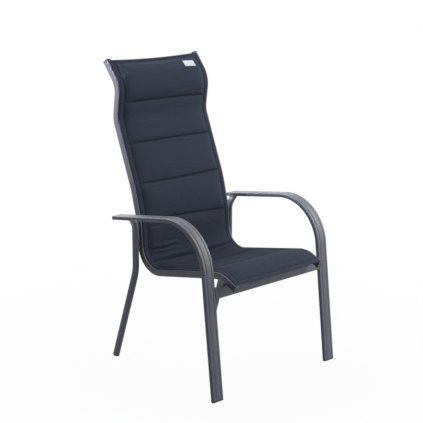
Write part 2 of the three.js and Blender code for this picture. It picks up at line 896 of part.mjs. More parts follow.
addPair('arm_front_leg', armFrontLeg(), finishes.frame, armCentre);
addPair('arm_cap', armCap(), finishes.plastic, armCentre);
addPair('front_glide', frontGlide(), finishes.plastic, armCentre);
addPair('rear_leg', rearLeg(), finishes.frame, rearLegCentre);
addPair('rear_glide', rearGlide(), finishes.plastic, rearLegCentre);

const railEnds = railPath().stations;
addPair('sling_rail', slingRail(), finishes.frame, railCentre);
addPair('rail_top_cap', alongPath(railCap(), railEnds[0]), finishes.plastic, railCentre);
addPair(
  'rail_front_cap',
  alongPath(endForEnd(railCap()), railEnds.at(-1)),
  finishes.greyPlastic,
  railCentre,
);
addPair('keder_rod', kederRod(), finishes.plastic, railCentre);

addPiece('padded_sling', paddedSling(), finishes.fabric);
addPiece('care_tab', careTab(), finishes.tab);

addPiece(
  'headrest_spreader_bar',
  spreaderBar(upperBackRun, shoulderCorner, headrestSpreaderBelowShoulder),
  finishes.frame,
);
addPiece(
  'lumbar_spreader_bar',
  spreaderBar(lowerBackRun, seatCorner, -lumbarSpreaderAboveSeat),
  finishes.frame,
);
addPiece('seat_spreader_bar', spreaderBar(seatRun, seatCorner, seatSpreaderAhead), finishes.frame);

addPiece('front_crossbar', frontCrossbar(), finishes.frame);
addPair('crossbar_bush', crossbarBush(), finishes.plastic, railCentre);
addPair('crossbar_bolt', crossbarBolt(), finishes.steel, railCentre);
Object.entries(railBoltsAboveSeat).forEach(([level, above]) => {
  addPair(`rail_spacer_${level}`, railSpacer(above), finishes.plastic, railOuterHalfSpan);
  addPair(`rail_bolt_${level}`, railBolt(above), finishes.steel, railInnerHalfSpan - seatGap);
});

const extent = new THREE.Box3().setFromObject(chair);
chair.position.y = -(extent.min.y + extent.max.y) / 2;
chair.name = 'sling_patio_chair';

export default chair;
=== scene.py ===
# Looks of a high-back padded sling armchair for the patio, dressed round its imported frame.
# Metres, +Z up. The sitter faces -Y, so the sitter's left is +X.

import json
import math

import bmesh
import bpy
import numpy as np
from mathutils import Matrix, Vector


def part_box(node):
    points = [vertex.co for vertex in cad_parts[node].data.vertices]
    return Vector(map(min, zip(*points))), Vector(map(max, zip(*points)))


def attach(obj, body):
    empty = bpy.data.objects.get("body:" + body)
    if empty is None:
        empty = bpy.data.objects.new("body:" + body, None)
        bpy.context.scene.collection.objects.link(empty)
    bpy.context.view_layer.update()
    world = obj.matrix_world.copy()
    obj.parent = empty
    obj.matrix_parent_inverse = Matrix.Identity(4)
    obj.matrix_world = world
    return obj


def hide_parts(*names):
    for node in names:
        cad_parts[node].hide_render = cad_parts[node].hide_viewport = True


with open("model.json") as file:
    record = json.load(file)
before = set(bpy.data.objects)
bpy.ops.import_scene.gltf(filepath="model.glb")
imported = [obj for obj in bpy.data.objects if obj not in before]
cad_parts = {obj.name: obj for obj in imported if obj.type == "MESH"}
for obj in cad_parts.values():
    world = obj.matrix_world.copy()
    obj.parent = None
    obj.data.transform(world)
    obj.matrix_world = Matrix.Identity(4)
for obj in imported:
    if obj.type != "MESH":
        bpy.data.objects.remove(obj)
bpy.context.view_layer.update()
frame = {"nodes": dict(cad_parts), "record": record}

mm = 0.001
degrees = math.pi / 180
quarter = math.pi / 2
full_turn = 2 * math.pi
seat_gap = 0.3 * mm

# Arm and front leg, one flat bar: its section, and its path along the outer face
overall_width = 632 * mm
arm_width = 50 * mm
arm_thickness = 14 * mm
arm_edge_radius = 4.5 * mm
arm_centre = overall_width / 2 - arm_width / 2
arm_tilt = 7.8 * degrees
arm_corner_height = 627 * mm
arm_bend_radius = 178 * mm
arm_past_rear_leg = 36.5 * mm
front_foot_reach = 318 * mm
front_leg_lean = 6.2 * degrees
front_leg_end = 5 * mm
groove_offset = 12 * mm
groove_half = 1.5 * mm
groove_depth = 0.9 * mm
groove_shape = [(0.5, 0.75), (1, 1), (1.5, 0.75)]
land_crown = 0.25 * mm
lip_share = 0.9

# Sling rail's section
rail_beside_arm = 41 * mm
rail_outer = arm_centre - arm_width / 2 - rail_beside_arm
rail_width = 20 * mm
rail_depth = 25 * mm
rail_centre = rail_outer - rail_width / 2
rail_rear_radius = 5 * mm
rail_inner_lip_radius = 3 * mm
rail_outer_lip_radius = 1.6 * mm
slot_offset = 4 * mm
slot_width = 3.4 * mm
channel_radius = 4.2 * mm
channel_depth = 8.2 * mm
keder_radius = 3.6 * mm

# Sling rail's front face, from the top down: runs of a length and a lean, and the bends between them
rail_top_reach = 327.8 * mm
rail_top_height = 1110 * mm
seat_corner_height = 362.3 * mm
rail_past_front_foot = 10.6 * mm
headrest_run = (112 * mm, 37.6 * degrees)
neck_run = (123.5 * mm, -7.9 * degrees)
upper_back_lean = 20.9 * degrees
lumbar_run = (130 * mm, 14.3 * degrees)
lower_back_run = (164.6 * mm, 3.6 * degrees)
seat_lean = 99.9 * degrees
nose_run = (79 * mm, 63.6 * degrees)
rail_radii = mm * np.array([98, 76, 300, 200, 75, 103])

# Rear leg, to its centre line
spacer_length = 7.8 * mm
bolts_above_seat = 114 * mm
bolts_behind = 18.4 * mm
rear_leg_ahead_of_bolts = 0.9 * mm
rear_leg_width = 15 * mm
rear_leg_depth = 27 * mm
rear_leg_edge_radius = 6 * mm
rear_leg_centre = rail_outer + spacer_length + rear_leg_width / 2
rear_leg_sweep = 18 * degrees
rear_leg_splay = 1.2 * degrees
rear_leg_sweep_height = 354 * mm
rear_leg_sweep_radius = 185 * mm
rear_leg_flare = 42 * degrees
rear_leg_flare_height = 529 * mm
rear_leg_flare_radius = 50 * mm
rear_leg_sunk = 0.5 * mm
rear_glide_length = 10 * mm
rear_glide_flat = 13 * mm

# Crossbar and spreader bars
crossbar_thickness = 12 * mm
crossbar_height = 40 * mm
crossbar_edge_radius = 3 * mm
spreader_radius = 8 * mm
spreader_behind = 12 * mm
spreader_straight = 30 * mm
spreader_bow = 22 * mm
spreader_bow_run = 60 * mm
spreader_bend_radius = 40 * mm
spreader_sides = 28
headrest_spreader_below_shoulder = 30 * mm
lumbar_spreader_above_seat = 114 * mm
seat_spreader_ahead = 215 * mm

# Weld beads, and the ripples that welding leaves: share of the radius, and turn from step to step
bead_pitch = 1.3 * mm
arm_bead_radius = 1.7 * mm
bar_bead_radius = 1.4 * mm
bead_sides = 8
bead_ripples = [(0.12, 2.1), (0.05, 0.9)]

# How finely the swept pieces are drawn: pitch on straight runs and turn in bends
arm_steps = (20 * mm, 2 * degrees)
leg_steps = (20 * mm, 3 * degrees)
rail_steps = (25 * mm, 3 * degrees)
spreader_steps = (15 * mm, 4 * degrees)
land_steps = 6
sharp_edge = 40 * degrees

# Padded sling
sling_top_inset = 5 * mm
sling_front_inset = 2 * mm
sling_lift = 0.6 * mm
sling_margin = 2.2 * mm
slot_centre = rail_centre + slot_offset
tail_thickness = 2 * mm
tail_depth = channel_depth - keder_radius - seat_gap
pad_inside_rail = 28 * mm
pad_half_width = rail_outer - pad_inside_rail
pad_sag = 3 * mm
pad_back_crown = 3.5 * mm
pad_seam_dip = 0.6 * mm
thinnest = 0.6 * mm
hem_width = 15 * mm
hem_sag = 4 * mm
hem_roll = 0.8 * mm
hem_roundness = 2.2 * mm
hem_thinnest_share = 0.12
hem_steps = mm * np.array([0, 0.6, 2, 6, 11])

# Seams: distance down the rail, how far each tilts to one side, and how far it bows at the sides
seam_distances = mm * np.array([174, 327, 476, 621, 769, 917, 1061])
seam_tilts = mm * np.array([3, -1, -2, 15, -2, 3, 4])
seam_bows = mm * np.array([1, 1, -3, 3, -7, -2, -2])
seam_groove = 1.5 * mm
hem_groove = 0.5 * mm
groove_spread = 2.2 * mm

# Channels between the seams: crown, how far the simulated cloth may swell as a share of the crown,
# and how much of the simulated shape is kept
channel_crowns = mm * np.array([10, 10, 10.5, 11, 9.5, 6.5, 6.5, 7])
swell_shares = np.array([0.7, 0.4, 0.7, 0.7, 0.7, 0.6, 0.6, 0.6])
kept_shares = np.array([0.25, 0.2, 0.4, 0.6, 0.4, 0.5, 0.6, 0.6])

# How the crown falls off: share and power of each part across a channel, then the other powers
channel_puffs = [(0.55, 2.4), (0.45, 14)]
back_power = 2.6
side_power = 12

# Cloth simulation, started from a slack pad and then rid of most of its ripples
slack_share = 0.6
kept_ripple_share = 0.4
ripple_reach = 3
cloth_frames = 24
cloth_settings = {
    "vertex_group_mass": "pins", "use_pressure": True, "uniform_pressure_force": 3.0,
    "shrink_min": -0.004, "quality": 6, "mass": 0.25, "tension_stiffness": 12,
    "compression_stiffness": 12, "shear_stiffness": 4, "bending_stiffness": 1, "air_damping": 4,
}

# Side margin: steps out from the pad's edge and down from the margin's face
margin_steps = mm * np.array([(1.6, 0.9), (3.2, 1.2), (4.8, 0.3), (8, 0), (13, 0), (17.5, 0.1),
                              (20.5, 0.5), (22.2, 1.3), (23, 2.6)])
rear_steps = mm * np.array([8, 4])
tail_corner = 0.3 * mm
tail_shoulder = 1 * mm

# Metres by which the rear, the back and the left rear lie to one side on the cloth laid out flat
flat_rear, flat_back, flat_left_rear = 0.6, 1.0, 1.4

# Creases where the back turns into the seat, in mm: one end across and down, the other end,
# height and half width
folds = [
    (-197, 644, -70, 641, -4, 5),
    (-90, 632, 70, 630, 2, 6),
    (120, 641, 197, 637, -2.5, 4),
    (-160, 630, 196, 632, -3, 6),
    (-50, 668, 180, 676, -1, 8),
    (-197, 716, -40, 713, 6, 7),
    (-197, 726, -70, 723, -5, 4),
    (-197, 736, -70, 732, 6, 5),
    (-120, 729, 190, 734, -1.2, 6),
    (-190, 746, 0, 743, -3, 5),
    (-190, 758, 80, 753, 6, 6),
    (50, 757, 190, 760, 2.5, 6),
    (-188, 796, -20, 792, 7, 7),
    (50, 793, 188, 796, 6, 7),
    (-190, 813, 20, 808, -5, 7),
    (30, 808, 190, 813, -4.5, 7),
    (-180, 840, 40, 842, 3, 8),
    (40, 835, 180, 842, 2.4, 8),
    (-170, 862, -10, 868, -4, 9),
    (10, 862, 160, 868, -3.8, 9),
]
fold_wander = 1.2 * mm
fold_wander_turn = 60
fold_wander_start = 90
fold_fade_power = 0.6
fold_trough_share = 0.3
fold_trough_width = 2.2

# Puckers beside the stitches: each wave's length, and its shares of the height and the phase
pucker_waves = [(17 * mm, 1.0, 1.0), (11 * mm, 0.7, 2.1), (29 * mm, 0.5, 3.7)]
pucker_size = 0.18 * mm
pucker_reach = 11 * mm
pucker_start = 2.5 * mm
pucker_first_phase = 1.0
pucker_phase_step = 2.3
side_pucker_share = 0.6
side_pucker_phase = 0.7
side_fade = 6 * mm

# How finely the pad is drawn
row_pitch = 6.6 * mm
fine_pitch = 3.4 * mm
seam_steps = mm * np.array([0.8, 1.6, 2.5, 3.8, 5.6])
field_columns = 60
column_refine = 2

# Stitches
stitch_pitch = 4.4 * mm
stitch_length = 3.3 * mm
stitch_radius = 0.42 * mm
stitch_sides = 6
stitch_shape = [(-0.5, -0.5), (-0.3, 0.55), (0.0, 0.8), (0.3, 0.55), (0.5, -0.5)]
stitch_inset = 4 * mm
stitch_sunk = 0.15 * mm
margin_seam = pad_half_width + 6.4 * mm

# Blank sewn tab
tab_width = 52 * mm
tab_height = 26 * mm
tab_inside_pad = 50 * mm
tab_offset = pad_half_width - tab_inside_pad
tab_from_top = 38 * mm
tab_skew = 1.7 * mm
tab_thickness = 0.5 * mm
tab_lift = 0.2 * mm
tab_billow = 0.5 * mm
tab_wave = 0.25 * mm
tab_wave_turns = (5, 2)
tab_edge_power = 8
tab_sharp_edge = 60 * degrees
tab_columns = 26
tab_rows = 14

# Surfaces
scuff_height = 90 * mm
coat_peel = 0.03 * mm
plastic_grain = 0.05 * mm
turning_marks = 0.03 * mm
weave_pitch = 1.5 * mm
weave_depth = 0.25 * mm
thread_twist = 0.1 * mm
tape_pitch = 0.6 * mm
tape_depth = 0.1 * mm
wave_turns = 20 / full_turn
# Painted shade along each seam: strongest within the first distance of it, gone past the second
seam_shade_from = 0.8 * mm
seam_shade_to = 4 * mm
pad_edge_blur = 1 * mm
facet_gap = 0.01 * mm
smooth_below = 32 * degrees


def heading(lean):
    """The way down a run that leans back from upright."""
    return np.array([0.0, -math.sin(lean), -math.cos(lean)])


def unit(vectors):
    return vectors / np.linalg.norm(vectors, axis=-1, keepdims=True)


class BentPath:
    """Straight runs joined by round bends, with its point and tangent at any distance."""

    def __init__(self, corners, radii):
        self.pieces = []
        start = corners[0]
        for before, corner, after, radius in zip(corners, corners[1:], corners[2:], radii):
            into = unit(corner - before)
            out = unit(after - corner)
            turn = math.acos(float(np.clip(into @ out, -1, 1)))
            inward = unit(out - into * (into @ out))
            bend = corner - into * radius * math.tan(turn / 2)
            self.pieces.append((start, into, float(np.linalg.norm(bend - start)), None, 0))
            self.pieces.append((bend, into, radius * turn, inward, radius))
            start = corner + out * radius * math.tan(turn / 2)
        rest = corners[-1] - start
        self.pieces.append((start, unit(rest), float(np.linalg.norm(rest)), None, 0))
        self.length = sum(piece[2] for piece in self.pieces)

    def at(self, distance):
        last = len(self.pieces) - 1
        for i, (start, into, length, inward, radius) in enumerate(self.pieces):
            if distance <= length or i == last:
                break
            distance -= length
        if inward is None:
            return start + into * distance, into
        turn = distance / radius
        point = start + into * radius * math.sin(turn) + inward * radius * (1 - math.cos(turn))
        return point, into * math.cos(turn) + inward * math.sin(turn)

    def stations(self, straight_pitch, bend_step):
        """Distances along the path, close together in its bends."""
        distances, done = [0.0], 0.0
        for _, _, length, inward, radius in self.pieces:
            pitch = straight_pitch if inward is None else radius * bend_step
            steps = max(1, math.ceil(length / pitch))
            distances += [done + length * step / steps for step in range(1, steps + 1)]
            done += length
        return distances


def closing_run(total, lean, others, part):
    """The run that makes up a total with other runs: down with math.cos, forward with math.sin."""
    return (total - sum(length * part(tilt) for length, tilt in others)) / part(lean), lean


upper_back_run = closing_run(rail_top_height - seat_corner_height, upper_back_lean,
                             [headrest_run, neck_run, lumbar_run, lower_back_run], math.cos)
rear_runs = [headrest_run, neck_run, upper_back_run, lumbar_run, lower_back_run]
seat_run = closing_run(rail_top_reach + front_foot_reach + rail_past_front_foot, seat_lean,
                       [*rear_runs, nose_run], math.sin)
rail_runs = [*rear_runs, seat_run, nose_run]

# The frame's own place along Y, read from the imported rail
rail_back_reach = rail_top_reach + rail_depth * math.cos(headrest_run[1])
frame_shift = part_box("sling_rail_left")[1].y - rail_back_reach


def rail_corners(x=0.0):
    """Ends and bend corners of the rail's front face, from the top down."""
    corners = [np.array([x, rail_top_reach + frame_shift, rail_top_height])]
    for length, lean in rail_runs:
        corners.append(corners[-1] + heading(lean) * length)
    return corners


across = np.array([-1.0, 0.0, 0.0])
_, _, shoulder_corner, _, _, seat_corner, _, _ = rail_corners()
rail_path = BentPath(rail_corners(), rail_radii)
sling_front = rail_path.length - sling_front_inset


def behind_of(tangent):
    """The direction behind a path in the YZ plane that runs down or forward."""
    return unit(np.cross(tangent, across))


def rail_place(run, corner, along, behind):
    """A place on a run of the rail, along it from a corner and behind its front face."""
    tangent = heading(run[1])
    return corner + tangent * along + behind_of(tangent) * behind


front_foot = -front_foot_reach + frame_shift
rear_leg_place = rail_place(lower_back_run, seat_corner, -bolts_above_seat, bolts_behind)[1]
rear_leg_place -= rear_leg_ahead_of_bolts


# Meshes
def place_in_scene(name, data):
    thing = bpy.data.objects.new(name, data)
    bpy.context.scene.collection.objects.link(thing)
    return thing


def add_piece(name, mesh, material, sharp_angle=None):
    mesh.materials.append(material)
    mesh.shade_smooth()
    if sharp_angle is not None:
        mesh.set_sharp_from_angle(angle=sharp_angle)
    return place_in_scene(name, mesh)


def plain_mesh(name, points, faces):
    mesh = bpy.data.meshes.new(name)
    mesh.from_pydata([tuple(point) for point in points], [], faces)
    mesh.update()
    return mesh


def make_mesh(name, points, faces, flat=None):
    """A mesh whose faces look outward; flat is each point's place on the cloth laid out flat."""
    mesh = plain_mesh(name, points, faces)
    work = bmesh.new()
    work.from_mesh(mesh)
    bmesh.ops.recalc_face_normals(work, faces=work.faces)
    work.to_mesh(mesh)
    work.free()
    if flat is not None:
        corners = np.zeros(len(mesh.loops), np.int32)
        mesh.loops.foreach_get("vertex_index", corners)
        layer = mesh.uv_layers.new(name="cloth")
        layer.data.foreach_set("uv", np.array(flat)[corners].astype(np.float32).ravel())
    return mesh


def ring_faces(rings, count, closed_ends=True):
    """Quads between rings of points, each of the same count, with a face at each end."""
    faces = [(r * count + i, r * count + (i + 1) % count,
              (r + 1) * count + (i + 1) % count, (r + 1) * count + i)
             for r in range(rings - 1) for i in range(count)]
    if closed_ends:
        faces.append(tuple(range(count))[::-1])
        faces.append(tuple((rings - 1) * count + i for i in range(count)))
    return faces


def grid_faces(rows, columns):
    return [(r * columns + c, r * columns + c + 1, (r + 1) * columns + c + 1, (r + 1) * columns + c)
            for r in range(rows - 1) for c in range(columns - 1)]


def arc(x, y, radius, start, turn, steps):
    return [(x + radius * math.cos(start + turn * i / steps),
             y + radius * math.sin(start + turn * i / steps)) for i in range(steps + 1)]


def rounded_outline(width, depth, radius, y=0.0, steps=6):
    aside, back = width / 2 - radius, depth / 2 - radius
    places = [(aside, -back, -quarter), (aside, back, 0), (-aside, back, quarter),
              (-aside, -back, 2 * quarter)]
    return [p for cx, cy, start in places for p in arc(cx, y + cy, radius, start, quarter, steps)]


def end_on_plane(rings, height, fall):
    """Moves the last ring's points along the piece onto a plane: its height at Y = 0 and its fall."""
    for i, point in enumerate(rings[-1]):
        along = unit(point - rings[-2][i])
        rest = height - fall * point[1] - point[2]
        rings[-1][i] = point + along * rest / (along[2] + fall * along[1])


def sweep(name, outline, path, steps, end_plane=None, behind_at=behind_of):
    """A frame piece of an outline swept along a path, which can end on a plane."""
    rings = []
    for distance in path.stations(*steps):
        point, tangent = path.at(distance)
        behind = behind_at(tangent)
        aside = np.cross(behind, tangent)
        rings.append([point + aside * x + behind * y for x, y in outline])
    if end_plane is not None:
        end_on_plane(rings, *end_plane)
    mesh = make_mesh(name, np.concatenate(rings), ring_faces(len(rings), len(outline)))
    return add_piece(name, mesh, looks["frame"], sharp_edge)


def mirrored(piece):
    """The same piece on the sitter's right."""
    name = piece.name.replace("_left", "_right")
    mesh = piece.data.copy()
    mesh.name = name
    mesh.transform(Matrix.Diagonal((-1, 1, 1, 1)))
    mesh.flip_normals()
    return place_in_scene(name, mesh)


def settle(piece, node=None):
    """Rides a piece on the chair's one body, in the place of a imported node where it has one."""
    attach(piece, "root")
    if node is not None:
        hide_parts(node)


def settle_pair(piece, left_node=None, right_node=None):
    """Settles a frame piece on the sitter's left and its mirror image on the right."""
    settle(piece, left_node)
    settle(mirrored(piece), right_node)


# Materials
class Nodes:
    """Short calls that add shader nodes to a tree."""

    def __init__(self, tree):
        self.tree = tree

    def feed(self, socket, value):
        """Links another node's output to a socket, or sets a plain value on it."""
        if isinstance(value, bpy.types.NodeSocket):
            self.tree.links.new(value, socket)
        else:
            socket.default_value = value

    def node(self, kind, inputs=None, **settings):
        made = self.tree.nodes.new("ShaderNode" + kind)
        for key, value in settings.items():
            setattr(made, key, value)
        for key, value in (inputs or {}).items():
            self.feed(made.inputs[key], value)
        return made

    def place(self):
        return self.node("TexCoord").outputs["Object"]

    def maths(self, kind, first, second=0.0):
        return self.node("Math", {0: first, 1: second}, operation=kind).outputs[0]

    def mix(self, share, first, second):
        return self.node("Mix", {0: share, 6: first, 7: second}, data_type="RGBA").outputs[2]

    def ranged(self, source, low, high, from_low=0.3, from_high=0.7):
        return self.node("MapRange", {"Value": source, "From Min": from_low, "From Max": from_high,
                                      "To Min": low, "To Max": high}).outputs["Result"]


class Look(Nodes):
    """A material on the standard surface shader, with textures that lie in the piece's own space."""

    def __init__(self, name):
        self.material = bpy.data.materials.new(name)
        self.material.use_nodes = True
        super().__init__(self.material.node_tree)

    def surface(self, **values):
        """Sets or links sockets of the surface shader, named with _ for a space."""
        for key, value in values.items():
            self.feed(self.tree.nodes["Principled BSDF"].inputs[key.replace("_", " ")], value)

    def noise(self, scale, detail=3.0, place=None):
        inputs = {"Vector": place or self.place(), "Scale": scale, "Detail": detail}
        return self.node("TexNoise", inputs).outputs["Fac"]

    def uneven(self, scale, low, high, detail=3.0):
        """A value that drifts between two levels over the surface."""
        return self.ranged(self.noise(scale, detail), low, high)

    def bump(self, height, distance, strength):
        inputs = {"Height": height, "Distance": distance, "Strength": strength}
        return self.node("Bump", inputs).outputs["Normal"]

    def grained(self, scale, depth, strength):
        return self.bump(self.noise(scale, 2.0), depth, strength)

    def cloth_place(self):
        """The place on the cloth laid out flat: across, then down the rail, in metres."""
        return self.node("UVMap", uv_map="cloth").outputs["UV"]

    def threads(self, pitch, axis, distortion=0.0):
        inputs = {"Vector": self.cloth_place(), "Scale": 1 / (pitch * wave_turns),
                  "Distortion": distortion}
        return self.node("TexWave", inputs, bands_direction=axis).outputs["Fac"]


def grey(value, red=1.0, blue=1.0):
    """A grey whose red and blue are these shares of its green."""
    return (value * red, value, value * blue, 1)


def powder_coat():
    """Satin powder coat with a fine orange peel, and small scuffs near the floor."""
    look = Look("powder_coat")
    coat = look.mix(look.uneven(7.0, 0, 1, 4.0), grey(0.138, 0.97, 1.28), grey(0.165, 0.98, 1.25))
    height = look.node("SeparateXYZ", {"Vector": look.place()}).outputs["Z"]
    low = look.ranged(height, 0.5, 0, 0, scuff_height)
    scuffs = look.maths("MULTIPLY", low, look.ranged(look.noise(140.0, 5.0), 0, 1, 0.58, 0.66))
    look.surface(Base_Color=look.mix(scuffs, coat, grey(0.26)),
                 Roughness=look.uneven(40.0, 0.31, 0.38, 4.0),
                 Normal=look.grained(850.0, coat_peel, 0.3), Specular_IOR_Level=0.36)
    return look.material


def moulded_plastic(name, low, high):
    """Moulded plastic with a fine spark-eroded grain."""
    look = Look(name)
    tone = look.mix(look.uneven(30.0, 0, 1), grey(low, 0.97, 1.25), grey(high, 0.98, 1.22))
    look.surface(Base_Color=tone, Roughness=look.uneven(120.0, 0.45, 0.6),
                 Normal=look.grained(1600.0, plastic_grain, 0.6))
    return look.material


def bolt_steel():
    """Blackened steel with turning marks."""
    look = Look("bolt_steel")
    look.surface(Base_Color=look.mix(look.uneven(200.0, 0, 1), grey(0.12), grey(0.2)),
                 Roughness=look.uneven(300.0, 0.3, 0.5, 4.0),
                 Normal=look.grained(900.0, turning_marks, 0.5), Metallic=0.9)
    return look.material


def painted_seam_shade(look):
    """How far painted seam shade darkens the cloth: most in the seams across the pad, none on its side
    margins.
    """
    flat = look.node("SeparateXYZ", {"Vector": look.cloth_place()}).outputs
    nearest = sling_front
    for seam in seam_distances:
        from_seam = look.maths("ABSOLUTE", look.maths("SUBTRACT", flat["Y"], seam))
        nearest = look.maths("MINIMUM", nearest, from_seam)
    on_pad = look.ranged(look.maths("ABSOLUTE", flat["X"]), 1, 0,
                         pad_half_width - pad_edge_blur, pad_half_width + pad_edge_blur)
    return look.maths("MULTIPLY", on_pad, look.ranged(nearest, 0.7, 0, seam_shade_from, seam_shade_to))


def sling_fabric():
    """Woven textilene: warp over weft, with threads that differ a little, a soft sheen, and painted shade
    along the seams.
    """
    look = Look("sling_fabric")
    cloth = look.cloth_place()
    weave = look.maths("MULTIPLY", look.threads(weave_pitch, "X", 0.4),
                       look.threads(weave_pitch, "Y", 0.4))
    stretched = look.node("Mapping", {"Vector": cloth, "Scale": (6.0, 300.0, 1.0)}).outputs["Vector"]
    yarns = look.noise(1.0, 3.0, stretched)
    fade = look.noise(9.0, 5.0, cloth)
    tone = look.mix(look.ranged(weave, 0, 1, 0.1, 0.9), grey(0.042, 0.84, 1.52), grey(0.086, 0.85, 1.46))
    tone = look.mix(look.ranged(yarns, 0, 0.3), tone, grey(0.1, 0.88, 1.4))
    tone = look.mix(look.ranged(fade, 0, 0.25), tone, grey(0.055, 0.84, 1.48))
    # Painted shade: the cloth's colour is darkened along each seam, where shade falls in the sewn groove
    look.surface(Base_Color=look.mix(painted_seam_shade(look), tone, grey(0.016, 0.84, 1.5)),
                 Roughness=look.ranged(yarns, 0.62, 0.78),
                 Normal=look.bump(weave, weave_depth, 0.5),
                 Specular_IOR_Level=0.02, Sheen_Weight=0.03, Sheen_Roughness=0.4)
    return look.material


def thread():
    """Twisted sewing thread, a shade darker than the cloth."""
    look = Look("thread")
    twist = look.noise(2500.0, 1.0)
    look.surface(Base_Color=look.mix(twist, grey(0.024, 0.88, 1.45), grey(0.045, 0.88, 1.4)),
                 Normal=look.bump(twist, thread_twist, 0.5), Roughness=0.7, Sheen_Weight=0.2)
    return look.material


def tab_cloth():
    """White woven tape, blank."""
    look = Look("tab_cloth")
    look.surface(Base_Color=look.mix(look.noise(60.0), grey(0.74, 0.98, 1.08), grey(0.8, 0.98, 1.08)),
                 Normal=look.bump(look.threads(tape_pitch, "Y"), tape_depth, 0.4),
                 Roughness=0.75, Sheen_Weight=0.1)
    return look.material


looks = {
    "frame": powder_coat(),
    "black_plastic": moulded_plastic("black_plastic", 0.012, 0.02),
    "grey_plastic": moulded_plastic("grey_plastic", 0.055, 0.075),
    "bolt_steel": bolt_steel(),
    "sling_fabric": sling_fabric(),
    "thread": thread(),
    "tab_fabric": tab_cloth(),
}


# Smooth edges on the pieces that stay as packed
def smooth_group():
    """A modifier tree that welds facets and shades them smooth up to an edge angle."""
    group = bpy.data.node_groups.new("smooth_facets", "GeometryNodeTree")
    group.is_modifier = True
    for way in ("INPUT", "OUTPUT"):
        group.interface.new_socket("Geometry", in_out=way, socket_type="NodeSocketGeometry")
    kinds = ["NodeGroupInput", "GeometryNodeRemoveAttribute", "GeometryNodeMergeByDistance",
             "GeometryNodeSetShadeSmooth", "GeometryNodeSetShadeSmooth", "NodeGroupOutput"]
    chain = [group.nodes.new(kind) for kind in kinds]
    for before, after in zip(chain, chain[1:]):
        group.links.new(before.outputs["Geometry"], after.inputs["Geometry"])
    _, drop, weld, _, edges, _ = chain
    drop.inputs["Name"].default_value = "custom_normal"
    weld.inputs["Distance"].default_value = facet_gap
    edges.domain = "EDGE"
    angle = group.nodes.new("GeometryNodeInputMeshEdgeAngle")
    below = group.nodes.new("FunctionNodeCompare")
    below.operation = "LESS_THAN"
    below.inputs["B"].default_value = smooth_below
    group.links.new(angle.outputs["Unsigned Angle"], below.inputs["A"])
    group.links.new(below.outputs["Result"], edges.inputs["Shade Smooth"])
    return group


def dress_nodes():
    smooth = smooth_group()
    slot_of = {row["node"]: row["material_slot"] for row in frame["record"]["subparts"]}
    for name, node in frame["nodes"].items():
        for slot in node.material_slots:
            slot.material = looks[slot_of[name]]
        node.modifiers.new("smooth_facets", "NODES").node_group = smooth
        node.modifiers.new("weighted", "WEIGHTED_NORMAL").keep_sharp = True


# Arms
def arm_corner():
    """Where the lines of the arm's top and the front leg's face meet."""
    reach = front_foot + arm_corner_height * math.tan(front_leg_lean)
    return np.array([arm_centre, reach, arm_corner_height])


def arm_top_at(y):
    return arm_corner_height - (y - arm_corner()[1]) * math.tan(arm_tilt)


def arm_outline():
    """Flat bar whose outer face has three gently crowned lands with two grooves between them."""
    half_flat = arm_width / 2 - arm_edge_radius
    lands = [(-half_flat, -groove_offset - groove_half),
             (groove_half - groove_offset, groove_offset - groove_half),
             (groove_offset + groove_half, half_flat)]
    face = []
    for left, right in lands:
        for share in np.linspace(0, 1, land_steps + 1):
            face.append((left + (right - left) * share, land_crown * (2 * share - 1) ** 2))
        if right < half_flat:
            face += [(right + groove_half * along, land_crown + groove_depth * deep)
                     for along, deep in groove_shape]
    rest = rounded_outline(arm_width, arm_thickness, arm_edge_radius, arm_thickness / 2)
    lip = len(rest) // 4
    return face[1:-1] + [(x, max(y, land_crown * lip_share)) for x, y in rest[:lip]] + rest[lip:]


def make_arms():
    """Arms whose front legs end flat on their glides."""
    rear = rear_leg_place + arm_past_rear_leg
    corners = [np.array([arm_centre, rear, arm_top_at(rear)]), arm_corner(),
               np.array([arm_centre, front_foot, 0])]
    path = BentPath(corners, [arm_bend_radius])
    arm = sweep("arm_and_front_leg_left", arm_outline(), path, arm_steps, (front_leg_end, 0))
    settle_pair(arm, "arm_front_leg_left", "arm_front_leg_right")


# Rear legs
def rear_leg_path():
    """The rear leg's centre line on the sitter's left, from its glide up into the arm."""
    x, y = rear_leg_centre, rear_leg_place
    sole = math.sin(rear_leg_sweep) * (rear_leg_depth / 2 - rear_glide_flat * math.cos(rear_leg_sweep))
    height = sole + (rear_glide_length + seat_gap) * math.cos(rear_leg_sweep)
    drop = rear_leg_sweep_height - height
    top = arm_top_at(y)
    flare = (top - rear_leg_flare_height) * math.tan(rear_leg_flare)
    corners = [(x + drop * math.tan(rear_leg_splay), y + drop * math.tan(rear_leg_sweep), height),
               (x, y, rear_leg_sweep_height), (x, y, rear_leg_flare_height), (x + flare, y, top)]
    return BentPath([np.array(corner) for corner in corners],
                    [rear_leg_sweep_radius, rear_leg_flare_radius])


def make_rear_legs():
    """Rear legs that end on the slope of the arms' undersides, with a weld round each top."""
    outline = rounded_outline(rear_leg_width, rear_leg_depth, rear_leg_edge_radius)
    underside = arm_top_at(0) - arm_thickness / math.cos(arm_tilt)
    arm_plane = (underside + rear_leg_sunk, math.tan(arm_tilt))
    leg = sweep("rear_leg_tube_left", outline, rear_leg_path(), leg_steps, arm_plane)
    settle_pair(leg, "rear_leg_left", "rear_leg_right")
    top = [np.array(vertex.co) for vertex in leg.data.vertices[-len(outline):]]
    settle_pair(weld_bead("arm_weld_left", top, arm_bead_radius))


# Weld beads
def resample(loop, pitch):
    """A closed loop of points at an even pitch."""
    loop = np.array([*loop, loop[0]])
    steps = np.linalg.norm(np.diff(loop, axis=0), axis=1)
    far = np.concatenate([[0], np.cumsum(steps)])
    places = np.linspace(0, far[-1], int(far[-1] / pitch), endpoint=False)
    return np.stack([np.interp(places, far, loop[:, axis]) for axis in range(3)], axis=1)


